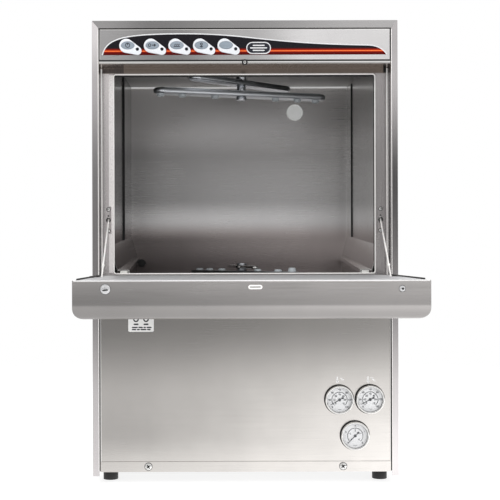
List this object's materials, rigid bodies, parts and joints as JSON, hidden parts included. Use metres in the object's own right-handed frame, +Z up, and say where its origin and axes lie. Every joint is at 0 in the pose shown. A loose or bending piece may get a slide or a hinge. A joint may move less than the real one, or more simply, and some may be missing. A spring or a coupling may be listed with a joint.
{
  "type": "glass washer",
  "caption": "Undercounter glass washer: stainless cabinet, drop-down door on stay rods, rotating spray arms above and below, push-button panel and dial gauges.",
  "frame": {"origin": "centre of the whole object's footprint with the door open, at floor level", "axes": "+Z up, the door and controls face -Y, +X to the right seen from the front"},
  "size_m": [0.61, 1.034, 0.925],
  "materials": {
    "brushed_cabinet": "vertical and horizontal brushed grain, satin",
    "chamber_steel": "bright satin sheet",
    "polished_steel": "polished",
    "hidden_steel": "galvanised",
    "overlay_black": "gloss printed film",
    "surround_white": "pearl white",
    "key_grey": "satin",
    "lamp_red": "tinted lens",
    "nylon_white": "moulded nylon",
    "black_plastic": "moulded",
    "foot_rubber": "matt",
    "gauge_steel": "polished bezel",
    "lens_glass": "clear",
    "brass_fitting": "machined",
    "board_green": "solder mask",
    "motor_paint": "satin enamel",
    "needle_black": "matt",
    "label_white": "printed film"
  },
  "bodies": {
    "cabinet": {"base_pan": "hidden_steel", "left_side_panel": "brushed_cabinet", "right_side_panel": "brushed_cabinet", "top_panel": "brushed_cabinet", "back_panel": "hidden_steel", "door_frame": "brushed_cabinet", "lower_panel": "brushed_cabinet", "panel_screws": "polished_steel", "data_label": "label_white", "control_panel": "brushed_cabinet", "control_overlay": "overlay_black", "button_surrounds": "surround_white", "indicator_lights": "lamp_red", "control_board": "board_green", "hinge_brackets": "hidden_steel", "rod_guides": "chamber_steel", "left_chamber_wall": "chamber_steel", "right_chamber_wall": "chamber_steel", "chamber_back_wall": "chamber_steel", "chamber_ceiling": "chamber_steel", "wash_tank": "chamber_steel", "rack_rails": "chamber_steel", "rack_stops": "nylon_white", "port_cap": "nylon_white", "temperature_probe": "black_plastic", "upper_manifold": "chamber_steel", "lower_manifold": "chamber_steel", "tank_strainer": "chamber_steel", "tank_heater": "hidden_steel", "pump_housing": "black_plastic", "pump_motor": "motor_paint", "booster_tank": "hidden_steel", "inlet_valve": "brass_fitting", "drain_outlet": "hidden_steel", "gauge_cases": "gauge_steel", "gauge_lenses": "lens_glass"},
    "door": {"door_outer_skin": "brushed_cabinet", "door_inner_skin": "chamber_steel", "door_handle": "brushed_cabinet", "handle_screws": "polished_steel", "door_pins": "polished_steel"},
    "left_stay_rod": {"left_stay_rod": "polished_steel"},
    "right_stay_rod": {"right_stay_rod": "polished_steel"},
    "upper_wash_arm": {"upper_wash_arm": "chamber_steel"},
    "upper_rinse_arm": {"upper_rinse_arm": "polished_steel"},
    "lower_wash_arm": {"lower_wash_arm": "chamber_steel"},
    "lower_rinse_arm": {"lower_rinse_arm": "polished_steel"},
    "pump_impeller": {"pump_impeller": "black_plastic"},
    "wash_needle": {"wash_needle": "needle_black"},
    "rinse_needle": {"rinse_needle": "needle_black"},
    "pressure_needle": {"pressure_needle": "needle_black"},
    "power_button": {"power_button": "key_grey"},
    "start_button": {"start_button": "key_grey"},
    "fill_button": {"fill_button": "key_grey"},
    "drain_button": {"drain_button": "key_grey"},
    "delime_button": {"delime_button": "key_grey"},
    "front_left_foot": {"front_left_foot": "foot_rubber"},
    "front_right_foot": {"front_right_foot": "foot_rubber"},
    "rear_left_foot": {"rear_left_foot": "foot_rubber"},
    "rear_right_foot": {"rear_right_foot": "foot_rubber"}
  },
  "joints": [
    {"name": "door_hinge", "type": "hinge", "parent": "cabinet", "child": "door", "pos_m": [0, -0.088, 0.409], "axis": [-1, 0, 0], "range_deg": [0, 90]},
    {"name": "left_stay_pivot", "type": "hinge", "parent": "door", "child": "left_stay_rod", "pos_m": [-0.278, -0.208, 0.409], "axis": [-1, 0, 0], "range_deg": [-45, 0]},
    {"name": "right_stay_pivot", "type": "hinge", "parent": "door", "child": "right_stay_rod", "pos_m": [0.278, -0.208, 0.409], "axis": [-1, 0, 0], "range_deg": [-45, 0]},
    {"name": "upper_wash_arm_spin", "type": "hinge", "parent": "cabinet", "child": "upper_wash_arm", "pos_m": [0, 0.174, 0.821], "axis": [0, 0, 1], "continuous": true},
    {"name": "upper_rinse_arm_spin", "type": "hinge", "parent": "cabinet", "child": "upper_rinse_arm", "pos_m": [0, 0.174, 0.849], "axis": [0, 0, 1], "continuous": true},
    {"name": "lower_wash_arm_spin", "type": "hinge", "parent": "cabinet", "child": "lower_wash_arm", "pos_m": [0, 0.174, 0.419], "axis": [0, 0, 1], "continuous": true},
    {"name": "lower_rinse_arm_spin", "type": "hinge", "parent": "cabinet", "child": "lower_rinse_arm", "pos_m": [0, 0.174, 0.433], "axis": [0, 0, 1], "continuous": true},
    {"name": "impeller_spin", "type": "hinge", "parent": "cabinet", "child": "pump_impeller", "pos_m": [0, 0.174, 0.125], "axis": [1, 0, 0], "continuous": true},
    {"name": "wash_needle_turn", "type": "hinge", "parent": "cabinet", "child": "wash_needle", "pos_m": [0.1866, -0.1344, 0.168], "axis": [0, 1, 0], "range_deg": [-15, 255]},
    {"name": "rinse_needle_turn", "type": "hinge", "parent": "cabinet", "child": "rinse_needle", "pos_m": [0.2478, -0.1344, 0.1686], "axis": [0, 1, 0], "range_deg": [-15, 255]},
    {"name": "pressure_needle_turn", "type": "hinge", "parent": "cabinet", "child": "pressure_needle", "pos_m": [0.2177, -0.1344, 0.0964], "axis": [0, 1, 0], "range_deg": [0, 270]},
    {"name": "power_button_press", "type": "slide", "parent": "cabinet", "child": "power_button", "axis": [0, 1, 0], "range_m": [0, 0.0015], "stiffness_N_per_m": 600},
    {"name": "start_button_press", "type": "slide", "parent": "cabinet", "child": "start_button", "axis": [0, 1, 0], "range_m": [0, 0.0015], "stiffness_N_per_m": 600},
    {"name": "fill_button_press", "type": "slide", "parent": "cabinet", "child": "fill_button", "axis": [0, 1, 0], "range_m": [0, 0.0015], "stiffness_N_per_m": 600},
    {"name": "drain_button_press", "type": "slide", "parent": "cabinet", "child": "drain_button", "axis": [0, 1, 0], "range_m": [0, 0.0015], "stiffness_N_per_m": 600},
    {"name": "delime_button_press", "type": "slide", "parent": "cabinet", "child": "delime_button", "axis": [0, 1, 0], "range_m": [0, 0.0015], "stiffness_N_per_m": 600},
    {"name": "front_left_foot_level", "type": "slide", "parent": "cabinet", "child": "front_left_foot", "axis": [0, 0, -1], "range_m": [0, 0.012]},
    {"name": "front_right_foot_level", "type": "slide", "parent": "cabinet", "child": "front_right_foot", "axis": [0, 0, -1], "range_m": [0, 0.012]},
    {"name": "rear_left_foot_level", "type": "slide", "parent": "cabinet", "child": "rear_left_foot", "axis": [0, 0, -1], "range_m": [0, 0.012]},
    {"name": "rear_right_foot_level", "type": "slide", "parent": "cabinet", "child": "rear_right_foot", "axis": [0, 0, -1], "range_m": [0, 0.012]}
  ],
  "couplings": [
    {"joint": "left_stay_pivot", "follows": "door_hinge", "ratio": -0.5},
    {"joint": "right_stay_pivot", "follows": "door_hinge", "ratio": -0.5}
  ]
}
